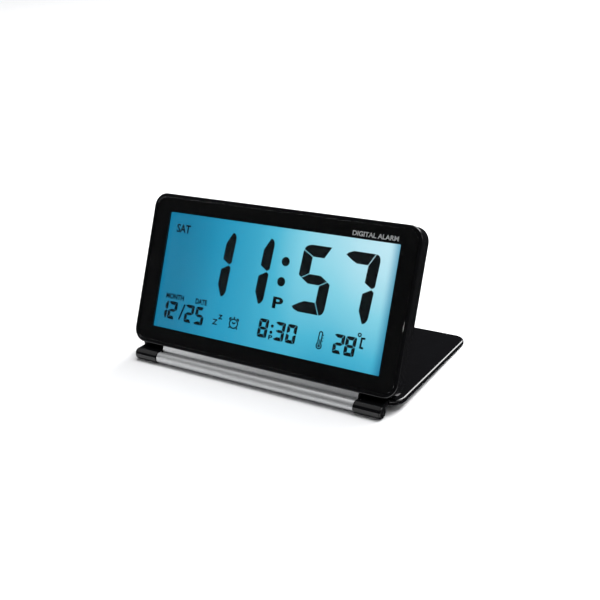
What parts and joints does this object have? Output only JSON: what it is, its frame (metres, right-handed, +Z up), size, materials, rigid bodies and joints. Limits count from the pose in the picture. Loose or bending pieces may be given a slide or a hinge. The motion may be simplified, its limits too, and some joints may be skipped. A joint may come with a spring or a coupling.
{
  "type": "folding alarm clock",
  "caption": "Folding digital travel alarm clock: a large backlit LCD case hinged on a barrel to a thin cover that swings behind it as the stand.",
  "frame": {"origin": "on the table, under the middle of the open clock: half way across its width and half way from the barrel to the cover's far edge", "axes": "+X along the hinge barrel towards the right of someone who reads the display, +Y to the back, +Z up"},
  "size_m": [0.13, 0.0742, 0.0668],
  "materials": {
    "black_gloss": "piano-black moulded ABS, high gloss",
    "black_matte": "black, fine matt",
    "key_plastic": "charcoal ABS, fine spark-eroded texture",
    "silver_satin": "satin anodised",
    "clear_acrylic": "clear cast acrylic with a hard coat",
    "lcd_glass": "thin clear display glass",
    "guide_acrylic": "clear acrylic lit blue from its edge",
    "polariser_film": "grey polarising film",
    "white_plastic": "white, matt",
    "board_laminate": "green solder mask on glass-fibre laminate",
    "black_epoxy": "cured black epoxy",
    "elastomer": "layered carbon and silicone rubber",
    "led_resin": "yellow phosphor resin",
    "steel": "bright nickel-plated",
    "spring_contact": "plated spring strip",
    "brass": "bright",
    "rubber": "black, matt",
    "felt": "black flocked film"
  },
  "bodies": {
    "cover": {"cover_shell": "black_gloss", "cover_liner": "felt", "foot_pad_left": "rubber", "foot_pad_right": "rubber", "hinge_pin_left": "steel", "hinge_pin_right": "steel", "hinge_cap_left": "black_gloss", "hinge_cap_right": "black_gloss"},
    "display": {"front_frame": "black_gloss", "rear_shell": "black_gloss", "hinge_trim": "silver_satin", "friction_sleeve_left": "spring_contact", "friction_sleeve_right": "spring_contact", "display_window": "clear_acrylic", "window_tape": "black_matte", "front_polariser": "polariser_film", "lcd_front_glass": "lcd_glass", "lcd_rear_glass": "lcd_glass", "rear_polariser": "polariser_film", "light_guide": "guide_acrylic", "backlight_reflector": "white_plastic", "lcd_holder": "white_plastic", "backlight_led_lower": "led_resin", "backlight_led_upper": "led_resin", "elastomer_connector": "elastomer", "circuit_board": "board_laminate", "processor_blob": "black_epoxy", "quartz_crystal": "steel", "temperature_sensor": "black_epoxy", "piezo_buzzer": "brass", "coin_cell": "steel", "battery_contact_negative": "spring_contact", "battery_contact_positive": "spring_contact", "slide_switch_body": "black_matte", "dome_mode": "spring_contact", "dome_set": "spring_contact", "dome_up": "spring_contact", "dome_down": "spring_contact", "dome_snooze_light": "spring_contact", "board_screw_left": "steel", "board_screw_right": "steel", "case_screw_1": "steel", "case_screw_2": "steel", "case_screw_3": "steel", "case_screw_4": "steel"},
    "mode_key": {"key_mode": "key_plastic"},
    "set_key": {"key_set": "key_plastic"},
    "up_key": {"key_up": "key_plastic"},
    "down_key": {"key_down": "key_plastic"},
    "snooze_key": {"key_snooze_light": "key_plastic"},
    "alarm_switch": {"alarm_switch_knob": "key_plastic"},
    "battery_door": {"battery_door": "black_gloss"}
  },
  "joints": [
    {"name": "display_fold", "type": "hinge", "parent": "cover", "child": "display", "pos_m": [0, -0.03451, 0.00248], "axis": [1, 0, 0], "range_deg": [0, 293.6]},
    {"name": "mode_key_press", "type": "slide", "parent": "display", "child": "mode_key", "axis": [0, -0.8987, 0.4386], "range_m": [0, 0.00035], "stiffness_N_per_m": 2000},
    {"name": "set_key_press", "type": "slide", "parent": "display", "child": "set_key", "axis": [0, -0.8987, 0.4386], "range_m": [0, 0.00035], "stiffness_N_per_m": 2000},
    {"name": "up_key_press", "type": "slide", "parent": "display", "child": "up_key", "axis": [0, -0.8987, 0.4386], "range_m": [0, 0.00035], "stiffness_N_per_m": 2000},
    {"name": "down_key_press", "type": "slide", "parent": "display", "child": "down_key", "axis": [0, -0.8987, 0.4386], "range_m": [0, 0.00035], "stiffness_N_per_m": 2000},
    {"name": "snooze_key_press", "type": "slide", "parent": "display", "child": "snooze_key", "axis": [0, -0.8987, 0.4386], "range_m": [0, 0.00035], "stiffness_N_per_m": 2000},
    {"name": "alarm_switch_slide", "type": "slide", "parent": "display", "child": "alarm_switch", "axis": [1, 0, 0], "range_m": [0, 0.003]},
    {"name": "battery_door_twist", "type": "hinge", "parent": "display", "child": "battery_door", "pos_m": [0, -0.01483, 0.02181], "axis": [0, -0.8987, 0.4386], "range_deg": [0, 50]}
  ]
}
